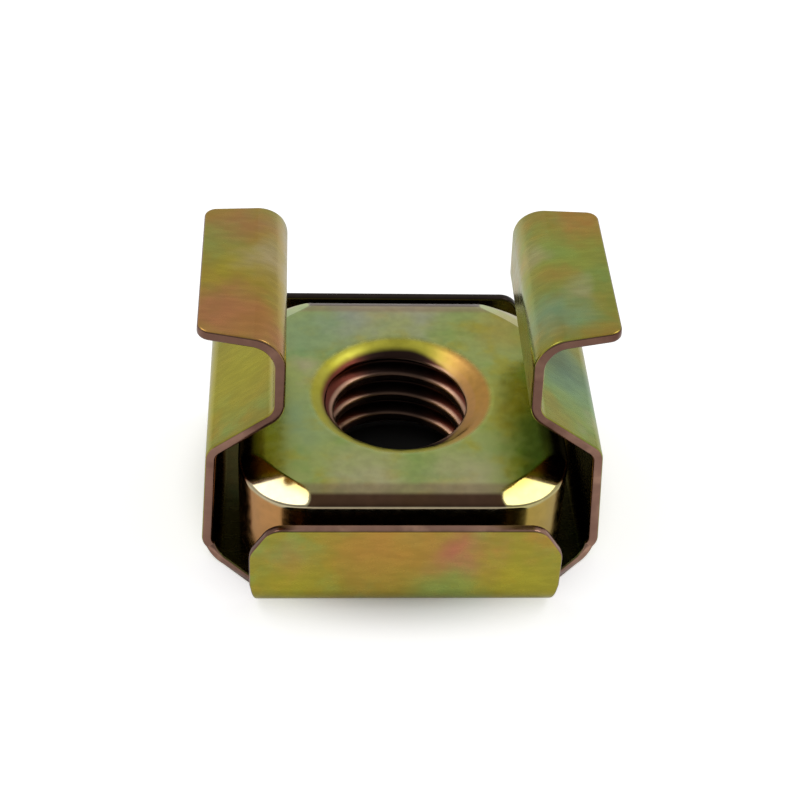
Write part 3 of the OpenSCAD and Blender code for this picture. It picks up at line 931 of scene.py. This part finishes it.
def make_world():
    """A light tent: even behind the nut, and in front bright low down and dark above."""
    world = bpy.data.worlds.new("studio")
    bpy.context.scene.world = world
    world.use_nodes = True
    tree = world.node_tree
    way = add(tree, "ShaderNodeSeparateXYZ", (add(tree, "ShaderNodeTexCoord")["Generated"],))
    behind = add(tree, RANGE, (way["Z"], 0.45, 0.95, 0.6, 0.5), **SMOOTH)[0]
    ahead = add(tree, RANGE, (way["Z"], 0.1, 0.4, 0.9, 0.3), **SMOOTH)[0]
    front = add(tree, RANGE, (way["Y"], -0.05, -0.35, 0.0, 1.0), **SMOOTH)[0]
    level = add(tree, "ShaderNodeMix", {0: front, 2: behind, 3: ahead})[0]
    # The camera sees the tent as white
    seen = add(tree, "ShaderNodeLightPath")["Is Camera Ray"]
    strength = add(tree, MATH, (level, seen), operation="MAXIMUM")[0]
    plain = tree.nodes["Background"]
    plain.inputs["Color"].default_value = (1, 1, 1, 1)
    tree.links.new(strength, plain.inputs["Strength"])


def make_camera(studio):
    """The camera, in front of the nut and above it."""
    a, e = studio.azimuth, studio.elevation
    back = Vector((math.sin(a) * math.cos(e), -math.cos(a) * math.cos(e), math.sin(e)))
    right = Vector((math.cos(a), math.sin(a), 0))
    up = back.cross(right)
    turned = Matrix((right, up, back)).transposed() @ Matrix.Rotation(studio.roll, 3, "Z")
    place = Vector((0, 0, studio.target_h)) + back * studio.distance
    camera = bpy.data.cameras.new("camera")
    camera.lens = studio.lens
    camera.clip_start = 1 * MM
    obj = bpy.data.objects.new("camera", camera)
    bpy.context.collection.objects.link(obj)
    obj.matrix_world = Matrix.Translation(place) @ turned.to_4x4()
    bpy.context.scene.camera = obj


# ---------------------------------------------------------------- operators

class AddCage(bpy.types.Operator):
    """Fold the spring-steel cage and give it its coat"""
    bl_idname = "mesh.rack_spring_cage"
    bl_label = "Spring cage"

    def execute(self, context):
        finish = context.scene.cage_finish
        sizes = context.scene.cage_sizes
        cage = make_cage(sizes, cage_coat(finish, sizes), cut_edge_coat(finish))
        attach(cage, "root")
        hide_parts("spring_cage")
        return {"FINISHED"}


class AddNut(bpy.types.Operator):
    """Shape and tap the square nut and give it its coat"""
    bl_idname = "mesh.rack_square_nut"
    bl_label = "Square nut"

    def execute(self, context):
        sizes = context.scene.nut_sizes
        nut = make_nut(sizes, nut_coat(context.scene.cage_finish, sizes))
        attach(nut, "root")
        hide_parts("square_nut")
        return {"FINISHED"}


class AddStudio(bpy.types.Operator):
    """Set the floor, the light and the camera"""
    bl_idname = "scene.rack_nut_studio"
    bl_label = "Studio"

    def execute(self, context):
        studio = context.scene.nut_studio
        make_floor()
        make_world()
        for name, place in SOFTBOXES:
            soft_light(name, LIT_POINT + Vector(place), studio.softbox_size, studio.softbox, LIT_POINT)
        make_camera(studio)
        context.scene.view_settings.view_transform = "Standard"
        return {"FINISHED"}


class CageNutPanel(bpy.types.Panel):
    """Lists the pieces, their sizes and the studio"""
    bl_idname = "VIEW3D_PT_rack_cage_nut"
    bl_label = "Rack cage nut"
    bl_space_type = "VIEW_3D"
    bl_region_type = "UI"
    bl_category = "Cage Nut"

    def draw(self, context):
        for operator, settings in PARTS:
            box = self.layout.box()
            box.operator(operator.bl_idname)
            for name in getattr(context.scene, settings).__annotations__:
                box.prop(getattr(context.scene, settings), name)
        box = self.layout.box()
        for name in Finish.__annotations__:
            box.prop(context.scene.cage_finish, name)


GROUPS = {"cage_sizes": CageSizes, "nut_sizes": NutSizes, "cage_finish": Finish, "nut_studio": Studio}
PARTS = ((AddCage, "cage_sizes"), (AddNut, "nut_sizes"), (AddStudio, "nut_studio"))
CLASSES = (*GROUPS.values(), AddCage, AddNut, AddStudio, CageNutPanel)


def register():
    """Registers the classes and hangs their settings on the scene."""
    for cls in CLASSES:
        bpy.utils.register_class(cls)
    for name, cls in GROUPS.items():
        setattr(bpy.types.Scene, name, PointerProperty(type=cls))


def unregister():
    """Takes the settings and the classes away again."""
    for name in GROUPS:
        delattr(bpy.types.Scene, name)
    for cls in reversed(CLASSES):
        bpy.utils.unregister_class(cls)


def main():
    """Makes the two pieces and the studio."""
    register()
    bpy.ops.mesh.rack_spring_cage()
    bpy.ops.mesh.rack_square_nut()
    bpy.ops.scene.rack_nut_studio()
    bpy.context.view_layer.update()


if __name__ == "__main__":
    main()
